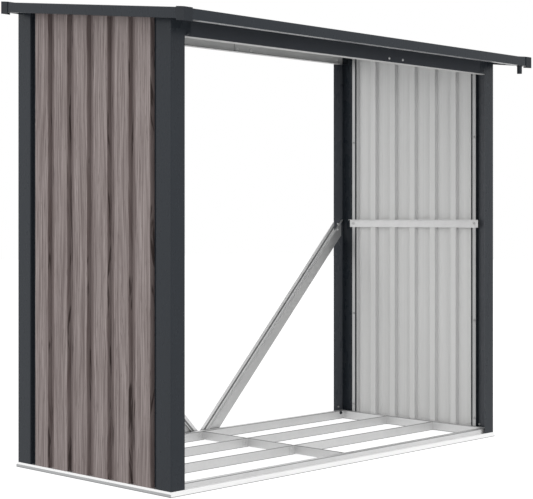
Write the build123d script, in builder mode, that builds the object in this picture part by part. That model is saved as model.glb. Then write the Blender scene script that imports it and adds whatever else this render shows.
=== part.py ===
from build123d import *
import os
from math import cos, radians, tan

os.makedirs("parts", exist_ok=True)

# Frame, over the outer faces of the four corner posts
frame_width = 1620.0
frame_depth = 745.0

# Roof: pitch up to the rear, overhangs past the posts, top of the trims at the front edge
roof_pitch = 6.98
side_overhang = 62.3
front_overhang = 123.0
rear_overhang = 2.0
front_trim_top = 1408.3
roof_build_up = 12.0

# Thickness of the folded sheets and bars
post_sheet = 1.5
rail_sheet = 1.2
panel_sheet = 1.0
trim_sheet = 1.2
roof_sheet = 1.0
bar_sheet = 1.5

# Radius inside every bend of a folded sheet
bend_radius = 1.0

# Clearance between pieces that pass or seat beside each other
seat_gap = 0.3

# Base rails: bevelled nose outside the walls, ledge under them, raised box inside
nose_reach = 4.0
nose_height = 9.5
ledge_height = 16.0
open_ledge = 9.0
base_depth = 30.0
base_height = 33.0
outer_lip = 12.0
inner_lip = 8.0

# Floor frame: joists along the width, short struts between them near the middle
joist_bays = 3
joist_flange = 20.0
joist_tab = 23.0
strut_flange = 20.0
strut_tab = 23.0
strut_offset = -6.0

# Corner posts: front or rear leg, side leg, step inward and lapping flange; the front
# posts have an ear over each end of the header
post_face = 54.0
post_side = 66.0
post_step = 14.0
step_run = 3.0
post_reach = 88.2
ear_width = 24.0
ear_margin = 1.5

# Upright strips on the post flanges, beside the laps of the end walls
strip_width = 14.0
strip_gap = 4.0

# End walls: wide proud bands between narrow valleys
band_count = 6
valley_width = 32.6
valley_depth = 14.0
valley_slope = 4.0
lap_slope = 3.6
lap_gap = 1.0
lap_width = 3.0

# Rails across the inside of the end walls
mid_rail_height = 30.0
mid_rail_bottom = 779.0
mid_rail_inset = 57.0
mid_rail_flange = 12.0
top_rail_height = 30.0
top_rail_flange = 20.0

# Diagonal braces in the open rear, from near the middle of the rear rail to the posts
brace_foot = 75.0
brace_head = 733.0
brace_width = 46.0
brace_flange = 12.0
brace_end_gap = 10.0

# Headers over the open front and rear, each in two lengths joined by a splice plate
front_header_height = 62.6
rear_header_height = 60.7
header_depth = 30.0
header_joint = 0.644
splice_length = 100.0
splice_margin = 4.0

# Roof sheets with raised ribs from front to rear
sheet_count = 3
ribs_per_sheet = 5
rib_height = 8.5
rib_top = 20.0
rib_slope = 8.0
edge_rib = 16.0
drip_setback = 12.0

# Trims round the roof's edge
trim_height = 32.2
trim_top_flange = 20.0
trim_bottom_flange = 12.0
gutter_depth = 24.0
gutter_lip = 10.0

# Corner caps over the ends of the trims
cap_leg = 31.8
cap_wall = 2.2
cap_drop = 5.5
cap_rounding = 1.1

# Drain stub under the gutter, near its right end
stub_inset = 55.3
stub_setback = 12.0
stub_diameter = 18.0
stub_bore = 14.0
stub_length = 29.3
collar_diameter = 21.0
collar_height = 2.0

# Places that follow from the sizes above; the roof's plan is centred on the origin
roof_width = frame_width + 2 * side_overhang
roof_depth = front_overhang + frame_depth + rear_overhang
left_x = -frame_width / 2
right_x = frame_width / 2
roof_edge_x = roof_width / 2
roof_front_y = -roof_depth / 2
roof_rear_y = roof_depth / 2
front_y = roof_front_y + front_overhang
rear_y = front_y + frame_depth
rise = tan(radians(roof_pitch))
slope_direction = (0, 1, rise)
flange_face = post_step + post_sheet
strip_face = flange_face + bar_sheet
wall_ledge = strip_face + bend_radius + seat_gap
lap_end = post_reach + lap_gap
first_band = lap_end + lap_slope
strip_end = lap_end - lap_width - strip_gap


def roof_top(y):
    return front_trim_top + (y - roof_front_y) * rise


def under_roof(y):
    return roof_top(y) - roof_build_up


def along_slope(run):
    return run / cos(radians(roof_pitch))


def save(name, builder):
    builder.part.label = name
    export_step(builder.part, f"parts/{name}.step")


def cross_plane(y):
    return Plane(origin=(0, y, 0), x_dir=(1, 0, 0), z_dir=(0, -1, 0))


def end_plane(x):
    return Plane(origin=(x, 0, 0), x_dir=(0, 1, 0), z_dir=(1, 0, 0))


roof_underside = Plane(origin=(0, 0, under_roof(0)), x_dir=(1, 0, 0), z_dir=(0, -rise, 1))


# Closed outline of a sheet folded along the points and thickened to one side; every bend
# has the inside radius, and that radius and the thickness outside
def folded(points, thickness, side, inside=bend_radius):
    places = [Vector(*point) for point in points]
    runs = [(end - start).normalized() for start, end in zip(places, places[1:])]
    turn = 90 if side == Side.LEFT else -90
    normals = [run.rotate(Axis.Z, turn) for run in runs]
    far_places = []
    for place, before, after in zip(places, normals[:1] + normals, normals + normals[-1:]):
        far_places.append(place + (before + after) * (thickness / (1 + before.dot(after))))
    radii = []
    far_radii = []
    for normal, next_run in zip(normals, runs[1:]):
        closes = next_run.dot(normal) > 0
        radii.append(inside + thickness if closes else inside)
        far_radii.append(inside if closes else inside + thickness)
    with BuildLine() as outline:
        FilletPolyline(*places, radius=radii)
        FilletPolyline(*far_places, radius=far_radii)
        Line(places[0], far_places[0])
        Line(places[-1], far_places[-1])
    return outline.line


# Each wall has its starting corner, its inward direction, its run and its length
walls = {
    "front": (Vector(left_x, front_y), Vector(0, 1), Vector(1, 0), frame_width, open_ledge),
    "right": (Vector(right_x, front_y), Vector(-1, 0), Vector(0, 1), frame_depth, wall_ledge),
    "rear": (Vector(right_x, rear_y), Vector(0, -1), Vector(-1, 0), frame_width, open_ledge),
    "left": (Vector(left_x, rear_y), Vector(1, 0), Vector(0, -1), frame_depth, wall_ledge),
}


def base_outline(ledge):
    return [
        (outer_lip - nose_reach, 0),
        (-nose_reach, 0),
        (-nose_reach, nose_height),
        (0, ledge_height),
        (ledge, ledge_height),
        (ledge, base_height),
        (base_depth, base_height),
        (base_depth, 0),
        (base_depth - inner_lip, 0),
    ]


# Base rails, mitred at the corners, with crisp bends
for wall, (corner, inward, run, length, ledge) in walls.items():
    far_corner = corner + run * length
    rail_end = corner - run * nose_reach
    with BuildPart() as base_rail:
        with BuildSketch(Plane(origin=rail_end, x_dir=inward, z_dir=run)):
            add(folded(base_outline(ledge), rail_sheet, Side.RIGHT, inside=0))
            make_face()
        extrude(amount=length + 2 * nose_reach)
        split(bisect_by=Plane(origin=corner, z_dir=run - inward), keep=Keep.TOP)
        split(bisect_by=Plane(origin=far_corner, z_dir=-run - inward), keep=Keep.TOP)
    save(f"base_rail_{wall}", base_rail)

# Floor joists, each with a tab on the side rails at both ends
joist_pitch = (frame_depth - 2 * base_depth) / joist_bays
joist_faces = [front_y + base_depth + joist_pitch * number for number in range(1, joist_bays)]
joist_left = left_x + base_depth
joist_length = frame_width - 2 * base_depth
for number, face in enumerate(joist_faces, start=1):
    with BuildPart() as joist:
        joist_outline = [(face + joist_flange, 0), (face, 0), (face, base_height)]
        with BuildSketch(end_plane(joist_left)):
            add(folded(joist_outline, rail_sheet, Side.RIGHT))
            make_face()
        extrude(amount=joist_length)
        for end, outward in ((joist_left, 1), (-joist_left, -1)):
            with BuildSketch(end_plane(end)):
                with Locations((face, 0)):
                    Rectangle(joist_tab, base_height, align=(Align.MIN, Align.MIN))
            extrude(amount=outward * rail_sheet)
    save(f"floor_joist_{number}", joist)

# Struts from the front rail to the rear rail, broken at each joist
strut_starts = [front_y + base_depth] + [face + rail_sheet for face in joist_faces]
strut_ends = joist_faces + [rear_y - base_depth]
strut_base = rail_sheet + bend_radius
strut_outline = [
    (strut_offset + strut_flange, strut_base),
    (strut_offset, strut_base),
    (strut_offset, base_height),
]
for number, (start, end) in enumerate(zip(strut_starts, strut_ends), start=1):
    with BuildPart() as strut:
        with BuildSketch(cross_plane(end)):
            add(folded(strut_outline, rail_sheet, Side.RIGHT))
            make_face()
        extrude(amount=end - start)
        for place, inward in ((start, -1), (end, 1)):
            with BuildSketch(cross_plane(place)):
                with Locations((strut_offset, strut_base)):
                    Rectangle(strut_tab, base_height - strut_base, align=(Align.MAX, Align.MIN))
            extrude(amount=inward * rail_sheet)
    save(f"floor_strut_{number}", strut)

# Corner posts and the upright strips behind their flanges; the right ones mirror the left ones
ends = {"front": (front_y, 1, Side.RIGHT), "rear": (rear_y, -1, Side.LEFT)}
header_heights = {"front": front_header_height, "rear": rear_header_height}
for end, (face, inward, sheet_side) in ends.items():
    ear_height = header_heights[end] - ear_margin
    post_outline = [
        (left_x + post_face, face),
        (left_x, face),
        (left_x, face + inward * post_side),
        (left_x + post_step, face + inward * (post_side + step_run)),
        (left_x + post_step, face + inward * post_reach),
    ]
    with BuildPart() as left_post:
        with BuildSketch(Plane.XY.offset(ledge_height)):
            add(folded(post_outline, post_sheet, sheet_side))
            make_face()
        extrude(amount=roof_top(rear_y) - ledge_height)
        if end == "front":
            with BuildSketch(Plane.XY.offset(under_roof(face) - ear_height)):
                with Locations((left_x + post_face, face + inward * post_sheet / 2)):
                    Rectangle(ear_width, post_sheet, align=(Align.MIN, Align.CENTER))
            extrude(amount=roof_build_up + ear_height)
        split(bisect_by=roof_underside, keep=Keep.BOTTOM)
    with BuildPart() as left_strip:
        with BuildSketch(Plane.XY.offset(ledge_height)):
            with Locations((left_x + flange_face, face + inward * (strip_end - strip_width / 2))):
                Rectangle(bar_sheet, strip_width, align=(Align.MIN, Align.CENTER))
        extrude(amount=roof_top(rear_y) - ledge_height)
        split(bisect_by=roof_underside, keep=Keep.BOTTOM)
    for name, left_piece in (("post", left_post), ("upright_strip", left_strip)):
        with BuildPart() as right_piece:
            mirror(left_piece.part, about=Plane.YZ)
        save(f"{name}_{end}_left", left_piece)
        save(f"{name}_{end}_right", right_piece)

# End walls, one corrugated sheet each, lapped behind the flanges of the posts
band_width = (frame_depth - 2 * first_band - (band_count - 1) * valley_width) / band_count
band_pitch = band_width + valley_width
wall_outline = [(flange_face, lap_end - lap_width), (flange_face, lap_end)]
for band in range(band_count):
    band_start = first_band + band * band_pitch
    wall_outline += [(0, band_start), (0, band_start + band_width)]
    if band < band_count - 1:
        wall_outline.append((valley_depth, band_start + band_width + valley_slope))
        wall_outline.append((valley_depth, band_start + band_pitch - valley_slope))
wall_outline += [(flange_face, frame_depth - lap_end), (flange_face, frame_depth - lap_end + lap_width)]
wall_points = [(left_x + depth, front_y + place) for depth, place in wall_outline]
with BuildPart() as left_wall:
    with BuildSketch(Plane.XY.offset(ledge_height)):
        add(folded(wall_points, panel_sheet, Side.RIGHT))
        make_face()
    extrude(amount=roof_top(rear_y) - ledge_height)
    split(bisect_by=roof_underside, keep=Keep.BOTTOM)

# Mid-height rail, an angle fastened on the upright strips
with BuildPart() as left_mid_rail:
    mid_rail_top = mid_rail_bottom + mid_rail_height
    rail_x = left_x + strip_face
    mid_outline = [
        (rail_x, mid_rail_bottom),
        (rail_x, mid_rail_top),
        (rail_x + mid_rail_flange, mid_rail_top),
    ]
    with BuildSketch(cross_plane(rear_y - mid_rail_inset)):
        add(folded(mid_outline, rail_sheet, Side.RIGHT))
        make_face()
    extrude(amount=frame_depth - 2 * mid_rail_inset)

# Sloping top rail, an angle between the two headers
top_rail_inset = post_sheet + header_depth + seat_gap
with BuildPart() as left_top_rail:
    rail_front = front_y + top_rail_inset
    rail_top = under_roof(rail_front)
    rail_outline = [
        (rail_x, rail_top - top_rail_height),
        (rail_x, rail_top),
        (rail_x + top_rail_flange, rail_top),
    ]
    with BuildSketch(cross_plane(rail_front)):
        add(folded(rail_outline, rail_sheet, Side.RIGHT))
        make_face()
    extrude(amount=along_slope(frame_depth - 2 * top_rail_inset), dir=slope_direction)

# Rear brace, an angle from the ledge of the rear rail up to the post; its flange stops
# above the box of the rail
brace_face = rear_y - post_sheet
brace_run = frame_width / 2 - post_face - brace_foot
brace_rise = brace_head - base_height
brace_middle = (left_x + post_face + brace_run / 2, brace_face, base_height + brace_rise / 2)
brace_length = 2 * (brace_run + brace_rise)
brace_outline = [(-brace_width / 2, 0), (brace_width / 2, 0), (brace_width / 2, brace_flange)]
with BuildPart() as left_brace:
    brace_left = left_x + post_sheet + brace_end_gap
    downhill = Vector(brace_run, 0, -brace_rise).normalized()
    with BuildSketch(Plane(origin=brace_middle, x_dir=(-downhill.Z, 0, downhill.X), z_dir=downhill)):
        add(folded(brace_outline, bar_sheet, Side.LEFT))
        make_face()
    extrude(amount=brace_length / 2, both=True)
    with BuildSketch(cross_plane(brace_face)):
        with Locations((brace_left, ledge_height)):
            Rectangle(frame_width, frame_width, align=(Align.MIN, Align.MIN))
    extrude(amount=brace_flange, mode=Mode.INTERSECT)
    with BuildSketch(cross_plane(brace_face - bar_sheet)):
        with Locations((brace_left, 0)):
            Rectangle(frame_width, base_height + seat_gap, align=(Align.MIN, Align.MIN))
    extrude(amount=brace_flange, mode=Mode.SUBTRACT)

# Verge trim down the side of the roof
with BuildPart() as left_verge:
    verge_top = roof_top(roof_front_y)
    verge_outline = [
        (-roof_edge_x + trim_top_flange, verge_top),
        (-roof_edge_x, verge_top),
        (-roof_edge_x, verge_top - trim_height),
        (-roof_edge_x + trim_bottom_flange, verge_top - trim_height),
    ]
    with BuildSketch(cross_plane(roof_front_y)):
        add(folded(verge_outline, trim_sheet, Side.LEFT))
        make_face()
    extrude(amount=along_slope(roof_depth), dir=slope_direction)

side_pieces = {
    "wall_panel": left_wall,
    "mid_rail": left_mid_rail,
    "top_rail": left_top_rail,
    "rear_brace": left_brace,
    "verge_trim": left_verge,
}
for name, left_piece in side_pieces.items():
    with BuildPart() as right_piece:
        mirror(left_piece.part, about=Plane.YZ)
    save(f"{name}_left", left_piece)
    save(f"{name}_right", right_piece)

# Headers and their splice plates
header_left = left_x + post_sheet + bend_radius + seat_gap
header_right = -header_left
joint_x = left_x + header_joint * frame_width
header_lengths = {"long": (header_left, joint_x), "short": (joint_x, header_right)}
for end, (face, inward, sheet_side) in ends.items():
    web_y = face + inward * post_sheet
    flange_y = web_y + inward * header_depth
    header_bottom = under_roof(web_y) - header_heights[end]
    header_outline = [
        (flange_y, header_bottom),
        (web_y, header_bottom),
        (web_y, under_roof(web_y)),
        (flange_y, under_roof(flange_y)),
    ]
    for size, (start_x, end_x) in header_lengths.items():
        with BuildPart() as header:
            with BuildSketch(end_plane(start_x)):
                add(folded(header_outline, rail_sheet, sheet_side))
                make_face()
            extrude(amount=end_x - start_x)
        save(f"header_{end}_{size}", header)
    plate_y = web_y + inward * rail_sheet
    plate_height = header_heights[end] - 2 * splice_margin
    with BuildPart() as splice:
        with BuildSketch(cross_plane(plate_y)):
            with Locations((joint_x, header_bottom + splice_margin)):
                Rectangle(splice_length, plate_height, align=(Align.CENTER, Align.MIN))
        extrude(amount=-inward * bar_sheet)
    save(f"splice_plate_{end}", splice)

# Roof sheets with crisp bends; each lays its last rib over the first rib of the next
sheet_edge = roof_edge_x - trim_sheet - bend_radius - seat_gap
sheet_pitch = 2 * sheet_edge / sheet_count
rib_pitch = sheet_pitch / ribs_per_sheet
sheet_front = roof_front_y + drip_setback
sheet_rear = roof_rear_y - trim_sheet - bend_radius - seat_gap
pan = under_roof(sheet_front)
lap_height = rib_height + roof_sheet
for number in range(sheet_count):
    start_x = -sheet_edge + number * sheet_pitch
    end_x = start_x + sheet_pitch
    if number == 0:
        sheet_outline = [(start_x, pan + lap_height), (start_x + edge_rib, pan + lap_height)]
        sheet_outline.append((start_x + edge_rib + rib_slope, pan))
    else:
        sheet_outline = [(start_x - rib_top / 2 + roof_sheet, pan + rib_height)]
        sheet_outline.append((start_x + rib_top / 2, pan + rib_height))
        sheet_outline.append((start_x + rib_top / 2 + rib_slope, pan))
    for rib in range(1, ribs_per_sheet):
        rib_x = start_x + rib * rib_pitch
        sheet_outline.append((rib_x - rib_top / 2 - rib_slope, pan))
        sheet_outline.append((rib_x - rib_top / 2, pan + rib_height))
        sheet_outline.append((rib_x + rib_top / 2, pan + rib_height))
        sheet_outline.append((rib_x + rib_top / 2 + rib_slope, pan))
    if number == sheet_count - 1:
        sheet_outline.append((end_x - edge_rib - rib_slope, pan))
        sheet_outline += [(end_x - edge_rib, pan + lap_height), (end_x, pan + lap_height)]
    else:
        sheet_outline.append((end_x - rib_top / 2 - rib_slope, pan))
        sheet_outline += [(end_x - rib_top / 2, pan + lap_height), (end_x + rib_top / 2, pan + lap_height)]
    with BuildPart() as sheet:
        with BuildSketch(cross_plane(sheet_front)):
            add(folded(sheet_outline, roof_sheet, Side.LEFT, inside=0))
            make_face()
        extrude(amount=along_slope(sheet_rear - sheet_front), dir=slope_direction)
    save(f"roof_sheet_{number + 1}", sheet)

# Gutter along the front edge, closed at both ends, with a hole for the drain
gutter_end = roof_edge_x - trim_top_flange - seat_gap
gutter_back = roof_front_y + gutter_depth
gutter_bottom = front_trim_top - trim_height
gutter_back_top = under_roof(gutter_back) - seat_gap
stub_x = roof_edge_x - stub_inset
stub_y = roof_front_y + stub_setback
gutter_outline = [
    (roof_front_y + gutter_lip, front_trim_top),
    (roof_front_y, front_trim_top),
    (roof_front_y, gutter_bottom),
    (gutter_back, gutter_bottom),
    (gutter_back, gutter_back_top),
]
with BuildPart() as gutter:
    with BuildSketch(end_plane(-gutter_end)):
        add(folded(gutter_outline, trim_sheet, Side.LEFT))
        make_face()
    extrude(amount=2 * gutter_end)
    for place, inward in ((-gutter_end, 1), (gutter_end, -1)):
        with BuildSketch(end_plane(place)):
            with Locations((roof_front_y, gutter_bottom)):
                Rectangle(gutter_depth, trim_height / 2, align=(Align.MIN, Align.MIN))
        extrude(amount=inward * trim_sheet)
    with Locations((stub_x, stub_y, gutter_bottom + trim_sheet)):
        Hole(radius=stub_bore / 2, depth=trim_sheet)
save("front_gutter", gutter)

with BuildPart() as drain_stub:
    with BuildSketch(Plane(origin=(stub_x, stub_y, gutter_bottom), x_dir=(1, 0, 0), z_dir=(0, 0, -1))):
        Circle(collar_diameter / 2)
        Circle(stub_bore / 2, mode=Mode.SUBTRACT)
    extrude(amount=collar_height)
    with BuildSketch(Plane(origin=(stub_x, stub_y, gutter_bottom), x_dir=(1, 0, 0), z_dir=(0, 0, -1))):
        Circle(stub_diameter / 2)
        Circle(stub_bore / 2, mode=Mode.SUBTRACT)
    extrude(amount=stub_length)
save("drain_stub", drain_stub)

# Rear trim along the high edge
rear_top = roof_top(roof_rear_y)
rear_outline = [
    (roof_rear_y - trim_top_flange, roof_top(roof_rear_y - trim_top_flange)),
    (roof_rear_y, rear_top),
    (roof_rear_y, rear_top - trim_height),
]
with BuildPart() as rear_trim:
    with BuildSketch(end_plane(-gutter_end)):
        add(folded(rear_outline, trim_sheet, Side.RIGHT))
        make_face()
    extrude(amount=2 * gutter_end)
save("rear_trim", rear_trim)

# Corner caps: a top plate and two legs round the outside of the trims, rounded outside
cap_size = cap_leg + cap_wall
cap_height = cap_wall + trim_height + cap_drop
cap_edge_x = -roof_edge_x - cap_wall
cap_ends = {
    "front": (roof_front_y - cap_wall, roof_front_y - cap_wall, roof_front_y - cap_wall),
    "rear": (roof_rear_y - cap_leg, roof_rear_y, roof_rear_y + cap_wall),
}
for end, (start_y, leg_y, corner_y) in cap_ends.items():
    plate_top = roof_top(start_y) + cap_wall
    with BuildPart() as left_cap:
        with BuildSketch(cross_plane(start_y)):
            with Locations((cap_edge_x, plate_top)):
                Rectangle(cap_size, cap_height, align=(Align.MIN, Align.MAX))
            with Locations((cap_edge_x + cap_wall, plate_top - cap_wall)):
                Rectangle(cap_size, cap_height, align=(Align.MIN, Align.MAX), mode=Mode.SUBTRACT)
        extrude(amount=along_slope(cap_size), dir=slope_direction)
        with BuildSketch(cross_plane(leg_y)):
            with Locations((cap_edge_x, roof_top(leg_y) + cap_wall)):
                Rectangle(cap_size, cap_height, align=(Align.MIN, Align.MAX))
        extrude(amount=along_slope(cap_wall), dir=slope_direction)
        corner = Vector(cap_edge_x, corner_y, roof_top(corner_y) + cap_wall)
        corner_edges = [edge for edge in left_cap.edges() if edge.distance_to(corner) < seat_gap]
        fillet(corner_edges, radius=min(cap_rounding, cap_wall / 2))
    with BuildPart() as right_cap:
        mirror(left_cap.part, about=Plane.YZ)
    save(f"corner_cap_{end}_left", left_cap)
    save(f"corner_cap_{end}_right", right_cap)
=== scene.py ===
import math

import bmesh
import bpy
from mathutils import Matrix, Vector


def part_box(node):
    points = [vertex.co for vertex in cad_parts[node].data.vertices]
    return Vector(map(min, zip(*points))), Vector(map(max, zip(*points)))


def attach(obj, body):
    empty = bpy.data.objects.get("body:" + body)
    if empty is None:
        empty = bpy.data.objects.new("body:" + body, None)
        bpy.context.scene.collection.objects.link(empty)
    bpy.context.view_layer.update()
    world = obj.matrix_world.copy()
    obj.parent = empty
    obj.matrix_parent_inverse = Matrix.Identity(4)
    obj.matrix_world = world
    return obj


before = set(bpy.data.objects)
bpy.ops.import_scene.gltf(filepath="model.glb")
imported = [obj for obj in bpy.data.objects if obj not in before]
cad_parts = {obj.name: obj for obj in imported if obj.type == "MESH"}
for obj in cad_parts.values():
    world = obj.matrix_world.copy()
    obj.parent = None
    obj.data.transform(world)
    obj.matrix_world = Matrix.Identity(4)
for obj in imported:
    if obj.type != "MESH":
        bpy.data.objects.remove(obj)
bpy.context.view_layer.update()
scene = bpy.context.scene

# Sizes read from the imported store, in metres
POST_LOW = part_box("post_front_left")[0]
POST_X = -POST_LOW.x
FRONT_Y = POST_LOW.y
REAR_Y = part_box("post_rear_left")[1].y
MIDDLE_Y = (FRONT_Y + REAR_Y) / 2
RAIL_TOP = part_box("base_rail_front")[1].z
WALL_LOW, WALL_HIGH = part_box("wall_panel_left")
WALL_MIDDLE = (WALL_LOW.y + WALL_HIGH.y) / 2
WALL_HALF = (WALL_HIGH.y - WALL_LOW.y) / 2
ROOF_LOW, ROOF_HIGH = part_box("verge_trim_left")
GUTTER_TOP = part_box("front_gutter")[1].z
ROOF_RISE = (ROOF_HIGH.z - GUTTER_TOP) / (ROOF_HIGH.y - ROOF_LOW.y)
OFF_THE_ROOF = Vector((0, -ROOF_RISE, 1)).normalized()

# Sizes that the boxes of the nodes don't give, in metres
SHEET = 0.0012
POST_SHEET = 0.0015
LEDGE_TOP = 0.016
ROOF_BUILD_UP = 0.012
BRACE_FOOT_X = 0.075
BRACE_HEAD_X = 0.7560
BRACE_HEAD_Z = 0.733
BRACE_HALF = 0.023
HAIR = 0.0002


def roof_top(y):
    """Height of the roof's top plane, level with the upper edge of the trims."""
    return GUTTER_TOP + (y - ROOF_LOW.y) * ROOF_RISE


def brace_line():
    """Middle and upward direction of the right rear brace's centre line, as (x, z)."""
    foot = Vector((BRACE_FOOT_X, RAIL_TOP))
    head = Vector((BRACE_HEAD_X, BRACE_HEAD_Z))
    return (foot + head) / 2, (head - foot).normalized()


def linear(red, green, blue):
    """A colour given in the usual 0 to 255 steps, as Blender's linear values."""
    steps = [value / 255 for value in (red, green, blue)]
    return tuple(s / 12.92 if s <= 0.04045 else ((s + 0.055) / 1.055) ** 2.4 for s in steps) + (1,)


# Small helpers for shader node trees
def add_node(tree, kind, **settings):
    node = tree.nodes.new(kind)
    for name, value in settings.items():
        setattr(node, name, value)
    return node


def connect(tree, source, target):
    tree.links.new(source, target)


def maths(tree, operation, first, second=None, third=None, clamp=False):
    """A Math node; each input is a number or another node's output."""
    node = add_node(tree, "ShaderNodeMath", operation=operation, use_clamp=clamp)
    for socket, value in zip(node.inputs, (first, second, third)):
        if value is None:
            continue
        if isinstance(value, (int, float)):
            socket.default_value = value
        else:
            connect(tree, value, socket)
    return node.outputs[0]


def remap(tree, value, from_low, from_high, to_low, to_high, smooth=False):
    """Stretches a value from one range to another and stops at its ends."""
    node = add_node(tree, "ShaderNodeMapRange")
    if smooth:
        node.interpolation_type = "SMOOTHSTEP"
    connect(tree, value, node.inputs["Value"])
    node.inputs["From Min"].default_value = from_low
    node.inputs["From Max"].default_value = from_high
    node.inputs["To Min"].default_value = to_low
    node.inputs["To Max"].default_value = to_high
    return node.outputs["Result"]


def mix_colour(tree, factor, first, second):
    """The first colour at 0 and the second at 1; each is a fixed colour or a node's output."""
    node = add_node(tree, "ShaderNodeMix", data_type="RGBA")
    sockets = (node.inputs[0], node.inputs[6], node.inputs[7])
    for socket, value in zip(sockets, (factor, first, second)):
        if isinstance(value, (int, float, tuple)):
            socket.default_value = value
        else:
            connect(tree, value, socket)
    return node.outputs[2]


def own_place(tree):
    """The store's own coordinates, split into x, y and z."""
    place = add_node(tree, "ShaderNodeTexCoord")
    spot = add_node(tree, "ShaderNodeSeparateXYZ")
    connect(tree, place.outputs["Object"], spot.inputs[0])
    return spot


def face_direction(tree):
    """The direction that a face looks in, split into x, y and z."""
    geometry = add_node(tree, "ShaderNodeNewGeometry")
    facing = add_node(tree, "ShaderNodeSeparateXYZ")
    connect(tree, geometry.outputs["True Normal"], facing.inputs[0])
    return facing


def off_centre(tree, value, centre):
    """How far a value lies from the centre, to either side."""
    return maths(tree, "ABSOLUTE", maths(tree, "SUBTRACT", value, centre))


def stretched_noise(tree, scale, detail=2.0, roughness=0.5, shift=(0, 0, 0)):
    """Noise over the store's own coordinates, with a different scale along x, y and z."""
    place = add_node(tree, "ShaderNodeTexCoord")
    mapping = add_node(tree, "ShaderNodeMapping")
    mapping.inputs["Scale"].default_value = scale
    mapping.inputs["Location"].default_value = shift
    connect(tree, place.outputs["Object"], mapping.inputs["Vector"])
    noise = add_node(tree, "ShaderNodeTexNoise")
    noise.inputs["Scale"].default_value = 1
    noise.inputs["Detail"].default_value = detail
    noise.inputs["Roughness"].default_value = roughness
    connect(tree, mapping.outputs["Vector"], noise.inputs["Vector"])
    return noise.outputs["Fac"]


def new_group(name, inputs, outputs):
    """An empty node group with number inputs {name: default} and number outputs (name, ...)."""
    tree = bpy.data.node_groups.new(name, "ShaderNodeTree")
    for socket_name, default in inputs.items():
        socket = tree.interface.new_socket(socket_name, in_out="INPUT", socket_type="NodeSocketFloat")
        socket.default_value = default
    for socket_name in outputs:
        tree.interface.new_socket(socket_name, in_out="OUTPUT", socket_type="NodeSocketFloat")
    entry = tree.nodes.new("NodeGroupInput")
    leave = tree.nodes.new("NodeGroupOutput")
    return tree, entry, leave


def place_group(tree, group, **values):
    """Puts a shared effect into a finish, with the finish's own values for its inputs."""
    node = add_node(tree, "ShaderNodeGroup", node_tree=group)
    for name, value in values.items():
        node.inputs[name].default_value = value
    return node


# Effects that several finishes share, or that find the faces that a finish tells apart
# Width of the walls' end rims that the woodgrain finish paints in shadow.
LAP_RIM = 0.0035
# Heights of the thin lines of painted shade at the rails' foot and under their top.
EDGE_LINE = (0.0014, 0.0032)
SIDE_LEDGE = 0.012
END_LEDGE = 0.0095


def make_powder_coat_skin():
    """Cured powder coat: a fine orange-peel height, and slow drifts of tone and of gloss."""
    tree, entry, leave = new_group(
        "powder_coat_skin", {"Peel": 1.0, "Drift": 1.0}, ("Height", "Tone", "Gloss")
    )
    peel = stretched_noise(tree, (700, 700, 700), detail=1.5, roughness=0.55)
    waves = stretched_noise(tree, (150, 150, 150), detail=1.0)
    height = maths(tree, "MULTIPLY_ADD", waves, 0.6, peel)
    connect(tree, maths(tree, "MULTIPLY", height, entry.outputs["Peel"]), leave.inputs["Height"])
    drift = stretched_noise(tree, (5, 5, 2.2), detail=3.0, roughness=0.55)
    centred = maths(tree, "SUBTRACT", drift, 0.5)
    tone = maths(tree, "MULTIPLY_ADD", centred, entry.outputs["Drift"], 0.5)
    connect(tree, tone, leave.inputs["Tone"])
    gloss = stretched_noise(tree, (26, 26, 9), detail=4.0, roughness=0.6, shift=(3, 1, 7))
    connect(tree, gloss, leave.inputs["Gloss"])
    return tree


def make_wall_faces():
    """Tells the parts of an end wall's folded sheet apart.

    Outside is 1 on the faces that look away from the store, Depth is the distance in from the
    posts' outer face, Slope is 1 on the folds' sloping sides, and Lap Rim is 1 on the last few
    millimetres at the wall's front and rear ends.
    """
    tree, _, leave = new_group("wall_faces", {}, ("Outside", "Depth", "Slope", "Lap Rim"))
    spot = own_place(tree)
    facing = face_direction(tree)
    side = maths(tree, "MULTIPLY", spot.outputs["X"], facing.outputs["X"])
    connect(tree, maths(tree, "GREATER_THAN", side, 0.0), leave.inputs["Outside"])
    depth = maths(tree, "SUBTRACT", POST_X, maths(tree, "ABSOLUTE", spot.outputs["X"]))
    connect(tree, depth, leave.inputs["Depth"])
    turned = maths(tree, "ABSOLUTE", facing.outputs["Y"])
    connect(tree, remap(tree, turned, 0.2, 0.8, 0.0, 1.0), leave.inputs["Slope"])
    off_middle = off_centre(tree, spot.outputs["Y"], WALL_MIDDLE)
    rim = maths(tree, "GREATER_THAN", off_middle, WALL_HALF - LAP_RIM)
    connect(tree, rim, leave.inputs["Lap Rim"])
    return tree


def make_zinc_spangle():
    """Hot-dip zinc: Blend mixes crystals with soft clouds, and Height is a fine skin."""
    tree, _, leave = new_group("zinc_spangle", {}, ("Blend", "Height"))
    place = add_node(tree, "ShaderNodeTexCoord")
    crystals = add_node(tree, "ShaderNodeTexVoronoi")
    crystals.inputs["Scale"].default_value = 120
    crystals.inputs["Randomness"].default_value = 1.0
    connect(tree, place.outputs["Object"], crystals.inputs["Vector"])
    spangle = add_node(tree, "ShaderNodeSeparateColor")
    connect(tree, crystals.outputs["Color"], spangle.inputs[0])
    clouds = stretched_noise(tree, (14, 14, 14), detail=4.0, roughness=0.6)
    blend = maths(tree, "MULTIPLY_ADD", spangle.outputs[0], 0.2, maths(tree, "MULTIPLY", clouds, 0.8))
    connect(tree, blend, leave.inputs["Blend"])
    connect(tree, stretched_noise(tree, (420, 420, 420), detail=2.0), leave.inputs["Height"])
    return tree


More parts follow.
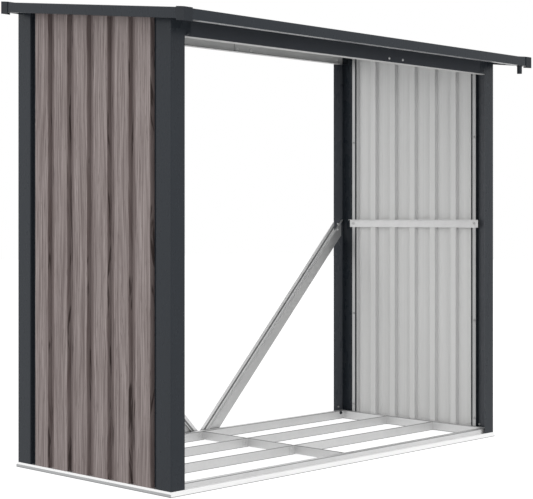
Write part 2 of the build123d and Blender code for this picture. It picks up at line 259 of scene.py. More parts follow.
def make_base_rail_faces():
    """Finds the base rails' faces among the galvanised pieces, by place and direction.

    Nose is 1 on the low ledge and nose that run round the store, and To Side is 1 on faces that
    look along x; the finishes paint light and shade there. Edge is a thin line of painted shade
    at the height of the rails' foot and just under their top, which joists and struts at that height have
    too.
    """
    tree, _, leave = new_group("base_rail_faces", {}, ("Nose", "To Side", "Edge"))
    spot = own_place(tree)
    facing = face_direction(tree)
    foot = remap(tree, spot.outputs["Z"], *EDGE_LINE, 1.0, 0.0)
    rim = remap(tree, spot.outputs["Z"], RAIL_TOP - EDGE_LINE[1], RAIL_TOP - EDGE_LINE[0], 0.0, 1.0)
    under_top = maths(tree, "LESS_THAN", spot.outputs["Z"], RAIL_TOP - HAIR)
    connect(tree, maths(tree, "MULTIPLY_ADD", rim, under_top, foot), leave.inputs["Edge"])
    off_side = maths(tree, "ABSOLUTE", spot.outputs["X"])
    off_side = maths(tree, "SUBTRACT", off_side, POST_X - SIDE_LEDGE)
    off_end = off_centre(tree, spot.outputs["Y"], MIDDLE_Y)
    off_end = maths(tree, "SUBTRACT", off_end, REAR_Y - MIDDLE_Y - END_LEDGE)
    outside = maths(tree, "GREATER_THAN", maths(tree, "MAXIMUM", off_side, off_end), 0.0)
    low_down = maths(tree, "LESS_THAN", spot.outputs["Z"], LEDGE_TOP + HAIR)
    connect(tree, maths(tree, "MULTIPLY", outside, low_down), leave.inputs["Nose"])
    to_side = maths(tree, "GREATER_THAN", maths(tree, "ABSOLUTE", facing.outputs["X"]), 0.9)
    connect(tree, to_side, leave.inputs["To Side"])
    return tree


powder_coat_skin = make_powder_coat_skin()
wall_faces = make_wall_faces()
zinc_spangle = make_zinc_spangle()
base_rail_faces = make_base_rail_faces()


# Finishes
def new_finish(name):
    """A new material, its node tree and its Principled shader."""
    material = bpy.data.materials.new(name)
    material.use_nodes = True
    tree = material.node_tree
    shader = tree.nodes["Principled BSDF"]
    return material, tree, shader


def bump(tree, shader, height, strength, distance):
    node = add_node(tree, "ShaderNodeBump")
    node.inputs["Strength"].default_value = strength
    node.inputs["Distance"].default_value = distance
    connect(tree, height, node.inputs["Height"])
    connect(tree, node.outputs["Normal"], shader.inputs["Normal"])


def set_gloss_of_coat(tree, shader, skin, roughness, shine):
    """Lets a coat's gloss drift between two roughnesses, under one strength of reflection."""
    rough = remap(tree, skin.outputs["Gloss"], 0.25, 0.75, *roughness)
    connect(tree, rough, shader.inputs["Roughness"])
    shader.inputs["Specular IOR Level"].default_value = shine


PAINT_TONES = (linear(37, 42, 48), linear(42, 47, 53))
PAINT_ROUGHNESS = (0.24, 0.32)
PAINT_SHINE = 0.24
REAR_LEG_DEPTH = 0.004
# Inset from the posts where the headers' painted reflection underneath begins.
REFLECTION_STARTS = 0.035


def make_anthracite_paint():
    """Powder coat; greyer inside one leg of each post as painted light, and paler under the trims as a
    painted reflection.

    The greyer leg, lifted by painted light, is the side one on the front posts and the rear one on the
    rear posts.
    """
    material, tree, shader = new_finish("anthracite_paint")
    skin = place_group(tree, powder_coat_skin, Peel=1.0, Drift=1.0)
    facing = face_direction(tree)
    spot = own_place(tree)
    turned_in = maths(tree, "MULTIPLY", spot.outputs["X"], facing.outputs["X"])
    looks_in = maths(tree, "LESS_THAN", turned_in, -0.5)
    in_front = maths(tree, "LESS_THAN", spot.outputs["Y"], MIDDLE_Y)
    side_leg = maths(tree, "MULTIPLY", looks_in, in_front)
    at_rear = maths(tree, "GREATER_THAN", spot.outputs["Y"], REAR_Y - REAR_LEG_DEPTH)
    rear_leg = maths(tree, "MULTIPLY", at_rear, maths(tree, "LESS_THAN", facing.outputs["Y"], -0.7))
    inside = maths(tree, "ADD", side_leg, rear_leg, clamp=True)
    underneath = maths(tree, "LESS_THAN", facing.outputs["Z"], -0.9)
    between_posts = maths(tree, "LESS_THAN", maths(tree, "ABSOLUTE", spot.outputs["X"]), POST_X)
    underneath = maths(tree, "MULTIPLY", underneath, between_posts)
    colour = mix_colour(tree, skin.outputs["Tone"], *PAINT_TONES)
    # Painted light: the inside of one leg of each post is mixed a paler grey, where light falls on it.
    colour = mix_colour(tree, inside, colour, linear(82, 85, 90))
    # Painted reflection: the down-facing faces of the trims and gutter between the posts are mixed pale
    # grey.
    colour = mix_colour(tree, underneath, colour, linear(150, 152, 154))
    connect(tree, colour, shader.inputs["Base Color"])
    set_gloss_of_coat(tree, shader, skin, PAINT_ROUGHNESS, PAINT_SHINE)
    bump(tree, shader, skin.outputs["Height"], 0.08, 0.0006)
    return material


def middle_of(name):
    """The middle of a node's box."""
    low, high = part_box(name)
    return (low + high) / 2


def inside_header(tree, spot):
    """1 on the faces that look at the middle line of their own header's channel."""
    front = middle_of("header_front_long")
    rear = middle_of("header_rear_long")
    at_rear = maths(tree, "GREATER_THAN", spot.outputs["Y"], 0.0)
    centre = add_node(tree, "ShaderNodeCombineXYZ")
    connect(tree, spot.outputs["X"], centre.inputs["X"])
    connect(tree, maths(tree, "MULTIPLY_ADD", at_rear, rear.y - front.y, front.y), centre.inputs["Y"])
    connect(tree, maths(tree, "MULTIPLY_ADD", at_rear, rear.z - front.z, front.z), centre.inputs["Z"])
    place = add_node(tree, "ShaderNodeTexCoord")
    inward = add_node(tree, "ShaderNodeVectorMath", operation="SUBTRACT")
    connect(tree, centre.outputs[0], inward.inputs[0])
    connect(tree, place.outputs["Object"], inward.inputs[1])
    geometry = add_node(tree, "ShaderNodeNewGeometry")
    looking = add_node(tree, "ShaderNodeVectorMath", operation="DOT_PRODUCT")
    connect(tree, inward.outputs[0], looking.inputs[0])
    connect(tree, geometry.outputs["True Normal"], looking.inputs[1])
    return maths(tree, "GREATER_THAN", looking.outputs["Value"], 0.0)


def make_header_paint():
    """Anthracite outside, mixed paler as painted light; a pale priming coat inside the channel; the same
    pale tone underneath, between the posts, as a painted reflection.
    """
    material, tree, shader = new_finish("header_paint")
    skin = place_group(tree, powder_coat_skin, Peel=1.0, Drift=1.0)
    spot = own_place(tree)
    facing = face_direction(tree)
    inside = inside_header(tree, spot)
    # Painted light: the outside anthracite is mixed paler than the posts' paint, lifting the shade under
    # the roof overhang.
    coat = mix_colour(tree, skin.outputs["Tone"], linear(53, 56, 61), linear(58, 61, 66))
    primer_and_reflection = mix_colour(tree, skin.outputs["Tone"], linear(212, 212, 211), linear(222, 222, 221))
    # Painted reflection: the down-facing faces between the posts get the pale tone too, for the white
    # floor seen at a grazing angle.
    underneath = maths(tree, "LESS_THAN", facing.outputs["Z"], -0.9)
    off_middle = maths(tree, "ABSOLUTE", spot.outputs["X"])
    between_posts = maths(tree, "LESS_THAN", off_middle, POST_X - REFLECTION_STARTS)
    underneath = maths(tree, "MULTIPLY", underneath, between_posts)
    colour = mix_colour(tree, maths(tree, "MAXIMUM", inside, underneath), coat, primer_and_reflection)
    connect(tree, colour, shader.inputs["Base Color"])
    set_gloss_of_coat(tree, shader, skin, (0.50, 0.60), 0.15)
    return material


def make_roof_paint():
    """Anthracite on top, a pale backing coat underneath."""
    material, tree, shader = new_finish("roof_paint")
    skin = place_group(tree, powder_coat_skin, Peel=0.8, Drift=1.2)
    facing = face_direction(tree)
    underneath = maths(tree, "LESS_THAN", facing.outputs["Z"], 0.0)
    coat = mix_colour(tree, skin.outputs["Tone"], *PAINT_TONES)
    backing = mix_colour(tree, skin.outputs["Tone"], linear(192, 194, 196), linear(206, 208, 210))
    connect(tree, mix_colour(tree, underneath, coat, backing), shader.inputs["Base Color"])
    set_gloss_of_coat(tree, shader, skin, (0.40, 0.52), PAINT_SHINE)
    bump(tree, shader, skin.outputs["Height"], 0.08, 0.0006)
    return material


def wavy_grain(tree, across, along, sway, detail=2.0, shift=(0, 0, 0)):
    """Noise drawn out along z, with lines that sway sideways as they rise."""
    place = add_node(tree, "ShaderNodeTexCoord")
    drift = stretched_noise(tree, (1, 9, 1.7), detail=1.5, shift=shift)
    push = maths(tree, "MULTIPLY", maths(tree, "SUBTRACT", drift, 0.5), sway)
    moved = add_node(tree, "ShaderNodeCombineXYZ")
    connect(tree, push, moved.inputs["Y"])
    joined = add_node(tree, "ShaderNodeVectorMath", operation="ADD")
    connect(tree, place.outputs["Object"], joined.inputs[0])
    connect(tree, moved.outputs[0], joined.inputs[1])
    mapping = add_node(tree, "ShaderNodeMapping")
    mapping.inputs["Scale"].default_value = (2, across, along)
    mapping.inputs["Location"].default_value = shift
    connect(tree, joined.outputs[0], mapping.inputs["Vector"])
    noise = add_node(tree, "ShaderNodeTexNoise")
    noise.inputs["Scale"].default_value = 1
    noise.inputs["Detail"].default_value = detail
    noise.inputs["Roughness"].default_value = 0.6
    connect(tree, mapping.outputs["Vector"], noise.inputs["Vector"])
    return noise.outputs["Fac"]


def make_woodgrain_panel():
    """Printed weathered wood outside, with dark print cracks in the folds and painted shade on their
    sloping sides; inside, a pale coat with painted shade on the slopes and a painted shadow on the lap
    rim.
    """
    material, tree, shader = new_finish("woodgrain_panel")
    skin = place_group(tree, powder_coat_skin, Peel=0.6, Drift=1.0)
    faces = place_group(tree, wall_faces)
    fine = wavy_grain(tree, 340, 5, 0.04, detail=1.5, shift=(0, 3, 0))
    coarse = wavy_grain(tree, 120, 1.8, 0.08, shift=(5, 0, 1))
    figure = wavy_grain(tree, 14, 1.1, 0.10, shift=(1, 7, 3))
    grain = maths(tree, "MULTIPLY_ADD", fine, 0.78, maths(tree, "MULTIPLY", coarse, 0.22))
    streak = remap(tree, grain, 0.36, 0.64, 0.0, 1.0)
    band_dark = mix_colour(tree, figure, linear(108, 97, 95), linear(122, 111, 109))
    band_pale = mix_colour(tree, figure, linear(155, 144, 142), linear(168, 158, 156))
    band = mix_colour(tree, streak, band_dark, band_pale)
    pores = wavy_grain(tree, 400, 20, 0.05, detail=1.5, shift=(4, 2, 6))
    pore = remap(tree, pores, 0.60, 0.68, 0.0, 0.5, smooth=True)
    band = mix_colour(tree, pore, band, linear(92, 80, 78))
    cracks = wavy_grain(tree, 190, 4.5, 0.03, detail=3.0, shift=(2, 5, 9))
    crack = remap(tree, cracks, 0.57, 0.64, 0.0, 0.85, smooth=True)
    fold = mix_colour(tree, streak, linear(126, 114, 112), linear(146, 135, 133))
    # Painted shade: the print is mixed darker on the folds' sloping sides.
    slope = mix_colour(tree, streak, linear(106, 94, 92), linear(128, 117, 115))
    fold = mix_colour(tree, faces.outputs["Slope"], fold, slope)
    fold = mix_colour(tree, crack, fold, linear(58, 49, 47))
    ragged = remap(tree, cracks, 0.46, 0.60, 0.0010, 0.0004)
    past_edge = maths(tree, "SUBTRACT", faces.outputs["Depth"], ragged)
    in_fold = maths(tree, "DIVIDE", past_edge, 0.001, clamp=True)
    print_colour = mix_colour(tree, in_fold, band, fold)
    rolled = stretched_noise(tree, (2, 130, 0.9), detail=2.0, shift=(8, 1, 2))
    coat = mix_colour(tree, rolled, linear(220, 220, 219), linear(232, 232, 231))
    # Painted shade: the inside coat is mixed darker on the folds' slopes.
    coat = mix_colour(tree, faces.outputs["Slope"], coat, linear(200, 200, 200))
    # Painted shadow: a near-black rim along the wall's front and rear ends, where the gap to the upright
    # strip lies in shade.
    coat = mix_colour(tree, faces.outputs["Lap Rim"], coat, linear(26, 27, 29))
    colour = mix_colour(tree, faces.outputs["Outside"], coat, print_colour)
    connect(tree, colour, shader.inputs["Base Color"])
    set_gloss_of_coat(tree, shader, skin, (0.46, 0.58), 0.12)
    grain_relief = maths(tree, "MULTIPLY", maths(tree, "MULTIPLY", streak, 0.8), faces.outputs["Outside"])
    bump(tree, shader, maths(tree, "ADD", grain_relief, skin.outputs["Height"]), 0.08, 0.0006)
    return material


def draw_fold_shadow(tree, colour):
    """Adds a painted shadow, a dark line along the front of each rear brace's edge strip, where it is
    folded.
    """
    spot = own_place(tree)
    middle, (run, rise) = brace_line()
    out = maths(tree, "SUBTRACT", middle.x, maths(tree, "ABSOLUTE", spot.outputs["X"]))
    up = maths(tree, "SUBTRACT", spot.outputs["Z"], middle.y)
    across = maths(tree, "MULTIPLY_ADD", out, rise, maths(tree, "MULTIPLY", up, run))
    off_line = off_centre(tree, across, BRACE_HALF + 0.0105)
    # Painted shadow along the fold, on the faces that look forward.
    line = remap(tree, off_line, 0.0042, 0.0030, 0.0, 0.85, smooth=True)
    in_front = maths(tree, "LESS_THAN", face_direction(tree).outputs["Y"], -0.7)
    return mix_colour(tree, maths(tree, "MULTIPLY", line, in_front), colour, linear(84, 85, 86))


def make_galvanised_steel(name, dull, bright, fold_shadow=False):
    """Zinc-coated sheet: soft satin metal; on the base rails, painted light makes the ledge and nose near
    white, and painted shade greys their sides and draws thin lines at their foot and under their top.
    """
    material, tree, shader = new_finish(name)
    zinc = place_group(tree, zinc_spangle)
    rails = place_group(tree, base_rail_faces)
    colour = mix_colour(tree, zinc.outputs["Blend"], dull, bright)
    # Painted light and shade: the rails' nose is near white where light falls, and grey on the faces that
    # look along x.
    nose = mix_colour(tree, rails.outputs["To Side"], linear(252, 252, 252), linear(178, 179, 180))
    colour = mix_colour(tree, rails.outputs["Nose"], colour, nose)
    # Painted shade: a dark line at the rails' foot and just under their top.
    edge = maths(tree, "MULTIPLY", rails.outputs["Edge"], 0.8)
    colour = mix_colour(tree, edge, colour, linear(110, 111, 112))
    if fold_shadow:
        colour = draw_fold_shadow(tree, colour)
    connect(tree, colour, shader.inputs["Base Color"])
    connect(tree, remap(tree, rails.outputs["Nose"], 0, 1, 0.7, 0.95), shader.inputs["Metallic"])
    rough = remap(tree, zinc.outputs["Blend"], 0.2, 0.8, 0.46, 0.38)
    connect(tree, rough, shader.inputs["Roughness"])
    bump(tree, shader, zinc.outputs["Height"], 0.05, 0.0004)
    return material


def make_cap_plastic():
    """Moulded anthracite plastic, duller than the paint."""
    material, tree, shader = new_finish("cap_plastic")
    skin = place_group(tree, powder_coat_skin, Peel=0.7, Drift=0.8)
    colour = mix_colour(tree, skin.outputs["Tone"], linear(37, 41, 46), linear(42, 46, 51))
    connect(tree, colour, shader.inputs["Base Color"])
    set_gloss_of_coat(tree, shader, skin, (0.46, 0.60), PAINT_SHINE)
    bump(tree, shader, skin.outputs["Height"], 0.12, 0.0005)
    return material


anthracite_paint = make_anthracite_paint()
header_paint = make_header_paint()
roof_paint = make_roof_paint()
woodgrain_panel = make_woodgrain_panel()
galvanised_steel = make_galvanised_steel("galvanised_steel", linear(216, 216, 216), linear(226, 226, 226))
# Painted shade: the upright strips get a darker copy of the galvanised finish.
strip_steel = make_galvanised_steel("strip_steel", linear(186, 186, 186), linear(196, 196, 196))
# Painted light: the nuts get a near-white copy of the galvanised finish, lifting the shade in the
# channels they sit in.
lit_nut_zinc = make_galvanised_steel("lit_nut_zinc", linear(246, 246, 246), linear(254, 254, 254))
# Painted light: the brace edge strips get a near-white copy of the galvanised finish, where light falls
# on them.
brace_edge_steel = make_galvanised_steel(
    "brace_edge_steel", linear(246, 246, 246), linear(254, 254, 254), fold_shadow=True
)
cap_plastic = make_cap_plastic()

FINISH_BY_NAME_START = [
    ("header_", header_paint),
    ("splice_plate_", header_paint),
    ("roof_sheet_", roof_paint),
    ("wall_panel_", woodgrain_panel),
    ("post_", anthracite_paint),
    ("upright_strip_", strip_steel),
    ("verge_trim_", anthracite_paint),
    ("front_gutter", anthracite_paint),
    ("rear_trim", anthracite_paint),
    ("corner_cap_", cap_plastic),
    ("drain_stub", cap_plastic),
]


def finish_for(name):
    """The finish of a node; those that the list leaves out are galvanised."""
    for start, material in FINISH_BY_NAME_START:
        if name.startswith(start):
            return material
    return galvanised_steel


for name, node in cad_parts.items():
    if not node.material_slots:
        node.data.materials.append(None)
    for place in node.material_slots:
        place.material = finish_for(name)


# Screws, bolts and nuts
HEAD_SIDES = 24
SCREW = 0.0042
SPLICE_SCREW = 0.0034
SPLICE_NUT = 0.0058
MID_RAIL_SCREW = 0.0048
CORNER_SCREW = 0.0058


def add_rings(mesh, seat, profile, sides, turn=0.0):
    """Adds rings of (radius, height) joined side to side, and returns the last ring."""
    rings = []
    for radius, height in profile:
        ring = []
        for step in range(sides):
            angle = turn + 2 * math.pi * step / sides
            spot = Vector((radius * math.cos(angle), radius * math.sin(angle), height))
            ring.append(mesh.verts.new(seat @ spot))
        rings.append(ring)
    for lower, upper in zip(rings, rings[1:]):
        for step in range(sides):
            ahead = (step + 1) % sides
            mesh.faces.new((lower[step], lower[ahead], upper[ahead], upper[step]))
    return rings[-1]


def seat_at(place, outward, turn):
    """The seat of a fastener: its z axis looks outward, and it is turned about that axis."""
    turned = outward.to_track_quat("Z", "Y").to_matrix().to_4x4()
    return Matrix.Translation(place) @ turned @ Matrix.Rotation(turn, 4, "Z")


def add_washer(mesh, seat, radius, thickness, hole):
    """A flat ring with a small chamfer round its outer edge."""
    edge = thickness * 0.2
    profile = [(radius, 0), (radius, thickness - edge), (radius - edge, thickness), (hole, thickness)]
    add_rings(mesh, seat, profile, HEAD_SIDES)


def add_pan_screw(mesh, place, outward, radius, turn):
    """A pan head with a cross recess on a thin washer."""
    seat = seat_at(place, outward, turn)
    add_washer(mesh, seat, radius * 1.22, radius * 0.2, radius * 0.9)
    profile = [
        (radius, radius * 0.20),
        (radius, radius * 0.42),
        (radius * 0.95, radius * 0.58),
        (radius * 0.84, radius * 0.70),
        (radius * 0.66, radius * 0.78),
    ]
    rim = add_rings(mesh, seat, profile, HEAD_SIDES, turn=-math.pi / 12)
    arm, half = radius * 0.50, radius * 0.13
    corners = []
    for quarter in range(4):
        spin = Matrix.Rotation(quarter * math.pi / 2, 4, "Z")
        for x, y in ((arm, -half), (arm, half), (half, half)):
            corners.append(spin @ Vector((x, y, 0)))
    lip = [mesh.verts.new(seat @ (corner + Vector((0, 0, radius * 0.82)))) for corner in corners]
    pit = [mesh.verts.new(seat @ (corner * 0.8 + Vector((0, 0, radius * 0.45)))) for corner in corners]
    for step in range(12):
        ahead = (step + 1) % 12
        outer = (rim[2 * step], rim[2 * step + 1], rim[(2 * step + 2) % HEAD_SIDES])
        mesh.faces.new((*outer, lip[ahead], lip[step]))
        mesh.faces.new((lip[step], lip[ahead], pit[ahead], pit[step]))
    mesh.faces.new(pit)


def add_hex_nut(mesh, place, outward, radius, turn):
    """A hexagon nut with the end of its screw standing out a little."""
    seat = seat_at(place, outward, turn)
    height = radius * 0.85
    profile = [(radius, 0), (radius, height * 0.88), (radius * 0.86, height), (radius * 0.5, height)]
    add_rings(mesh, seat, profile, 6)
    shank = [(radius * 0.52, height * 0.9), (radius * 0.52, height * 1.5), (radius * 0.4, height * 1.7)]
    end = add_rings(mesh, seat, shank, 12)
    mesh.faces.new(end)


def add_roof_screw(mesh, place, outward):
    """A self-drilling hexagon screw with a flange, on a sealing washer."""
    seat = seat_at(place, outward, turn=0.3)
    add_washer(mesh, seat, 0.0062, 0.0012, 0.0040)
    flange = [(0.0052, 0.0012), (0.0052, 0.0017), (0.0036, 0.0021)]
    add_rings(mesh, seat, flange, HEAD_SIDES)
    head = [(0.0037, 0.0019), (0.0037, 0.0046), (0.0031, 0.0053)]
    top = add_rings(mesh, seat, head, 6)
    mesh.faces.new(top)


def finish_piece(mesh, name, material):
    """Makes an object of a mesh, with smooth shading between its sharp edges, riding on the store."""
    bmesh.ops.recalc_face_normals(mesh, faces=mesh.faces)
    data = bpy.data.meshes.new(name)
    mesh.to_mesh(data)
    mesh.free()
    data.polygons.foreach_set("use_smooth", [True] * len(data.polygons))
    data.set_sharp_from_angle(angle=math.radians(35))
    data.materials.append(material)
    piece = bpy.data.objects.new(name, data)
    scene.collection.objects.link(piece)
    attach(piece, "root")


FORWARD = Vector((0, -1, 0))
BACKWARD = Vector((0, 1, 0))
CORNERS = [(-1, FRONT_Y, 1), (1, FRONT_Y, 1), (-1, REAR_Y, -1), (1, REAR_Y, -1)]


class Fasteners:
    """Screw heads and nuts of one kind of joint, gathered into two meshes."""

    def __init__(self, name, material, slot, nut_material=None):
        self.name = name
        self.material = material
        self.slot = slot
        self.nut_material = nut_material or lit_nut_zinc
        self.heads = bmesh.new()
        self.nuts = bmesh.new()
        self.count = 0

    def through(self, place, outward, grip, radius=SCREW, nut_radius=SCREW):
        """A screw head at the place, and its nut on the other side of the sheets."""
        self.count += 1
        add_pan_screw(self.heads, place, outward, radius, turn=self.count * 1.1)
        add_hex_nut(self.nuts, place - outward * grip, -outward, nut_radius, turn=self.count * 0.7)

    def nut(self, place, outward):
        """Only a nut, where the head on the other side is out of sight."""
        self.count += 1
        add_hex_nut(self.nuts, place, outward, SCREW, turn=self.count * 0.7)

    def head(self, place, outward, radius=SCREW):
        """Only a screw head, where a nut would be out of sight."""
        self.count += 1
        add_pan_screw(self.heads, place, outward, radius, turn=self.count * 1.1)

    def finish(self):
        if self.heads.verts:
            finish_piece(self.heads, self.name + "_screws", self.material)
        if self.nuts.verts:
            finish_piece(self.nuts, self.name + "_nuts", self.nut_material)


def make_header_bolts():
    """Four bolts through each splice plate, one through each ear, two at each rear post."""
    splice_reach = 0.037
    splice_margin = 0.0085
    ear_inset = 0.066
    ear_height = 1.357
    post_inset = 0.030
    post_step = 0.015
    bolts = Fasteners("header", galvanised_steel, "galvanised_steel")
    joint_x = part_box("header_front_long")[1].x
    for end, outward in (("front", FORWARD), ("rear", BACKWARD)):
        plate_low, plate_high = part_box(f"splice_plate_{end}")
        header_low, header_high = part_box(f"header_{end}_long")
        web_y = header_low.y if end == "front" else header_high.y
        grip = plate_high.y - plate_low.y + SHEET
        for x in (joint_x - splice_reach, joint_x + splice_reach):
            for z in (plate_low.z + splice_margin, plate_high.z - splice_margin):
                bolts.through(Vector((x, web_y, z)), outward, grip, SPLICE_SCREW, SPLICE_NUT)
    bolts.finish()
    painted = Fasteners("header_end", anthracite_paint, "anthracite_paint")
    middle_z = middle_of("header_rear_long").z
    for side in (-1, 1):
        ear = Vector((side * (POST_X - ear_inset), FRONT_Y, ear_height))
        painted.through(ear, FORWARD, POST_SHEET + SHEET)
        for z in (middle_z - post_step, middle_z + post_step):
            place = Vector((side * (POST_X - post_inset), REAR_Y, z))
            painted.through(place, BACKWARD, POST_SHEET + SHEET)
    painted.finish()


def make_post_bolts():
    """Bolts that hold the upright strips and post feet, and screws in the mid rails' ends."""
    heights = (0.062, 0.43, 1.12)
    below_roof = 0.034
    rear_foot_inset, rear_foot_height = 0.028, 0.045
    front_foot_depth, front_foot_height = 0.061, 0.039
    rail_screw_rise = 0.015
    painted = Fasteners("post", anthracite_paint, "anthracite_paint", strip_steel)
    strip_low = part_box("upright_strip_front_left")[0]
    strip_in = middle_of("upright_strip_front_left").y - FRONT_Y
    flange_x = -strip_low.x + POST_SHEET
    grip = POST_SHEET + SHEET + 0.0003
    for side, end_y, inward in CORNERS:
        outward = Vector((side, 0, 0))
        y = end_y + inward * strip_in
        for z in (*heights, roof_top(y) - ROOF_BUILD_UP - below_roof):
            painted.through(Vector((side * flange_x, y, z)), outward, grip)
        if inward < 0:
            foot = Vector((side * (POST_X - rear_foot_inset), end_y, rear_foot_height))
            painted.through(foot, BACKWARD, POST_SHEET)
        else:
            foot = Vector((side * (POST_X - POST_SHEET), end_y + front_foot_depth, front_foot_height))
            painted.nut(foot, -outward)
    painted.finish()
    bright = Fasteners("mid_rail", galvanised_steel, "galvanised_steel")
    rail_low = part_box("mid_rail_left")[0]
    rail_x = rail_low.x + SHEET
    rail_z = rail_low.z + rail_screw_rise
    for side, end_y, inward in CORNERS:
        place = Vector((-side * rail_x, end_y + inward * strip_in, rail_z))
        bright.head(place, Vector((-side, 0, 0)), MID_RAIL_SCREW)
    bright.finish()


def add_joist_screws(bolts):
    """One screw in each end of both floor joists."""
    from_front, height = 0.013, 0.0165
    for number in (1, 2):
        low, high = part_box(f"floor_joist_{number}")
        for side, end_x in ((-1, low.x), (1, high.x)):
            place = Vector((end_x - side * SHEET, low.y + from_front, height))
            bolts.head(place, Vector((-side, 0, 0)))


def add_strut_screws(bolts):
    """One screw in each end of the three floor struts."""
    from_left, height = 0.010, 0.019
    for number in (1, 2, 3):
        low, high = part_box(f"floor_strut_{number}")
        for y, inward in ((low.y + SHEET, BACKWARD), (high.y - SHEET, FORWARD)):
            bolts.head(Vector((low.x + from_left, y, height)), inward)


def add_brace_bolts(bolts):
    """Two bolts at each brace's head, through the rear post, and a screw at its foot."""
    head_inset, head_drops = 0.034, (0.040, 0.018)
    foot_reach, foot_height = 0.030, 0.026
    for side, name in ((-1, "left"), (1, "right")):
        low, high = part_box(f"rear_brace_{name}")
        for drop in head_drops:
            place = Vector((side * (POST_X - head_inset), REAR_Y, high.z - drop))
            bolts.through(place, BACKWARD, 2 * POST_SHEET)
        foot_x = low.x + foot_reach if side > 0 else high.x - foot_reach
        bolts.head(Vector((foot_x, high.y - POST_SHEET, foot_height)), FORWARD)


def make_base_bolts():
    """Bolts of the joists, struts and braces, and a dark screw near each corner of the base."""
    bolts = Fasteners("base", galvanised_steel, "galvanised_steel")
    add_joist_screws(bolts)
    add_strut_screws(bolts)
    add_brace_bolts(bolts)
    bolts.finish()
    inset, depth, height = 0.044, 0.030, 0.0245
    dark = Fasteners("base_corner", cap_plastic, "cap_plastic")
    for side in (-1, 1):
        for y, inward in ((REAR_Y - depth, FORWARD), (FRONT_Y + depth, BACKWARD)):
            dark.head(Vector((side * (POST_X - inset), y, height)), inward, CORNER_SCREW)
    dark.finish()


def make_brace_edges():
    """The flat edge strip of each rear brace, beyond its fold, from the ledge up to the post."""
    width, lap, thickness = 0.026, 0.0025, 0.0011
    middle, along = brace_line()
    across = Vector((-along.y, along.x))
    inner = middle + across * (BRACE_HALF - lap)
    outer = middle + across * (BRACE_HALF + width)
    low_z = LEDGE_TOP + 0.0005
    joint_x = 0.0005
    head_x = BRACE_HEAD_X - 0.0008
    outline = [
        inner + along * ((low_z - inner.y) / along.y),
        inner + along * ((head_x - inner.x) / along.x),
        outer + along * ((head_x - outer.x) / along.x),
        outer + along * ((joint_x - outer.x) / along.x),
        Vector((joint_x, low_z)),
    ]
    back_y = REAR_Y - POST_SHEET - HAIR
    for side, name in ((-1, "left"), (1, "right")):
        mesh = bmesh.new()
        back = [mesh.verts.new((side * corner.x, back_y, corner.y)) for corner in outline]
        front = [mesh.verts.new((side * corner.x, back_y - thickness, corner.y)) for corner in outline]
        mesh.faces.new(back)
        mesh.faces.new(front)
        for step in range(len(outline)):
            ahead = (step + 1) % len(outline)
            mesh.faces.new((back[step], back[ahead], front[ahead], front[step]))
        bmesh.ops.bevel(mesh, geom=mesh.edges[:], offset=HAIR, segments=2, affect="EDGES")
        finish_piece(mesh, f"brace_edge_{name}", brace_edge_steel)


def make_roof_screws():
    """Screws in the pans of the roof sheets over both headers, and halfway at the laps."""
    pans = 5
    from_posts = 0.016
    screws = bmesh.new()
    for number in (1, 2, 3):
        low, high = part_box(f"roof_sheet_{number}")
        pitch = (high.x - low.x) / pans
        for pan in range(pans):
            rows = [FRONT_Y + from_posts, REAR_Y - from_posts]
            if pan in (0, pans - 1):
                rows.append(MIDDLE_Y)
            for y in rows:
                pan_top = roof_top(y) - ROOF_BUILD_UP + 0.001
                place = Vector((low.x + (pan + 0.5) * pitch, y, pan_top))
                add_roof_screw(screws, place, OFF_THE_ROOF)
    finish_piece(screws, "roof_screws", roof_paint)


make_header_bolts()
make_post_bolts()
make_base_bolts()
make_brace_edges()
make_roof_screws()


# Floor, light and camera
def make_white_floor():
    """White to the camera and in reflections, with the store's soft shadow; grey light upwards."""
    material = bpy.data.materials.new("white_floor")
    material.use_nodes = True
    tree = material.node_tree
    tree.nodes.clear()
    rays = add_node(tree, "ShaderNodeLightPath")
    plain = add_node(tree, "ShaderNodeBsdfDiffuse")
    plain.inputs["Color"].default_value = (0.8, 0.8, 0.8, 1)
    shaded = add_node(tree, "ShaderNodeBsdfDiffuse")
    shaded.inputs["Color"].default_value = (0.40, 0.40, 0.40, 1)
    lift = add_node(tree, "ShaderNodeEmission")
    lift.inputs["Strength"].default_value = 0.86
    seen = add_node(tree, "ShaderNodeAddShader")
    connect(tree, shaded.outputs[0], seen.inputs[0])
    connect(tree, lift.outputs[0], seen.inputs[1])
    white = add_node(tree, "ShaderNodeEmission")
    by_camera = add_node(tree, "ShaderNodeMixShader")
    connect(tree, rays.outputs["Is Camera Ray"], by_camera.inputs[0])
    connect(tree, plain.outputs[0], by_camera.inputs[1])
    connect(tree, seen.outputs[0], by_camera.inputs[2])
    mirrored = maths(
        tree, "ADD", rays.outputs["Is Glossy Ray"], rays.outputs["Is Transmission Ray"], clamp=True
    )
    by_mirror = add_node(tree, "ShaderNodeMixShader")
    connect(tree, mirrored, by_mirror.inputs[0])
    connect(tree, by_camera.outputs[0], by_mirror.inputs[1])
    connect(tree, white.outputs[0], by_mirror.inputs[2])
    output = add_node(tree, "ShaderNodeOutputMaterial")
    connect(tree, by_mirror.outputs[0], output.inputs["Surface"])
    return material


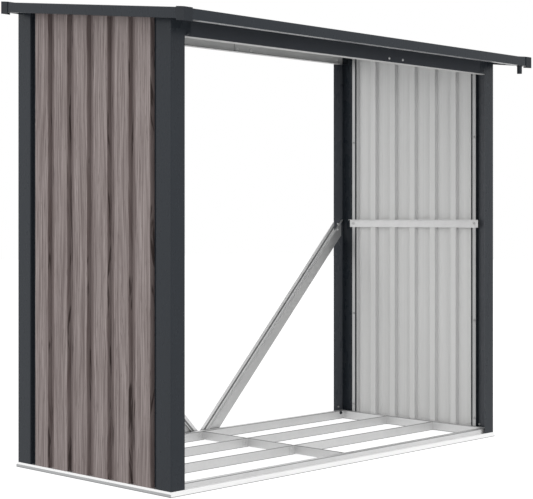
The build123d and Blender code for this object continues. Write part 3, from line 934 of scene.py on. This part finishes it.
def make_floor():
    """A wide plain floor, a hair under the store."""
    mesh = bmesh.new()
    bmesh.ops.create_grid(mesh, x_segments=2, y_segments=2, size=20)
    data = bpy.data.meshes.new("floor")
    mesh.to_mesh(data)
    mesh.free()
    data.materials.append(make_white_floor())
    floor = bpy.data.objects.new("floor", data)
    floor.location.z = -0.0005
    scene.collection.objects.link(floor)


def add_soft_panel(name, place, width, height, power):
    """A soft rectangular lamp aimed at the store's middle, unseen by the camera and in gloss."""
    lamp = bpy.data.lights.new(name, "AREA")
    lamp.shape = "RECTANGLE"
    lamp.size = width
    lamp.size_y = height
    lamp.energy = power
    panel = bpy.data.objects.new(name, lamp)
    panel.location = place
    aim = Vector((0, 0, 0.75)) - panel.location
    panel.rotation_euler = aim.to_track_quat("-Z", "Y").to_euler()
    panel.visible_camera = False
    panel.visible_glossy = False
    scene.collection.objects.link(panel)


def make_light():
    """White surroundings, with soft panels at the left rear, the front and above."""
    world = bpy.data.worlds.new("studio")
    scene.world = world
    world.use_nodes = True
    tree = world.node_tree
    background = tree.nodes["Background"]
    rays = add_node(tree, "ShaderNodeLightPath")
    seen = maths(tree, "ADD", rays.outputs["Is Camera Ray"], rays.outputs["Is Glossy Ray"])
    seen = maths(tree, "ADD", seen, rays.outputs["Is Transmission Ray"], clamp=True)
    background.inputs["Color"].default_value = (1, 1, 1, 1)
    connect(tree, remap(tree, seen, 0, 1, 0.72, 1.0), background.inputs["Strength"])
    add_soft_panel("rear_left_panel", (-6.05, 4.24, 2.05), 5.0, 3.2, 100)
    add_soft_panel("front_panel", (-1.4, -6.8, 1.75), 4.0, 2.6, 85)
    add_soft_panel("high_panel", (-1.9, -1.9, 5.4), 3.0, 3.0, 50)


def make_camera():
    """A level camera at the photo's place, shifted down a little to fit the store."""
    lens = bpy.data.cameras.new("camera")
    lens.lens = 95.17
    lens.sensor_width = 36
    lens.shift_y = -0.0563
    camera = bpy.data.objects.new("camera", lens)
    camera.location = (-3.5664, -3.3565, 0.8096)
    camera.rotation_euler = (math.radians(90), 0, math.radians(-46.03))
    scene.collection.objects.link(camera)
    scene.camera = camera


make_floor()
make_light()
make_camera()
scene.view_settings.view_transform = "Standard"
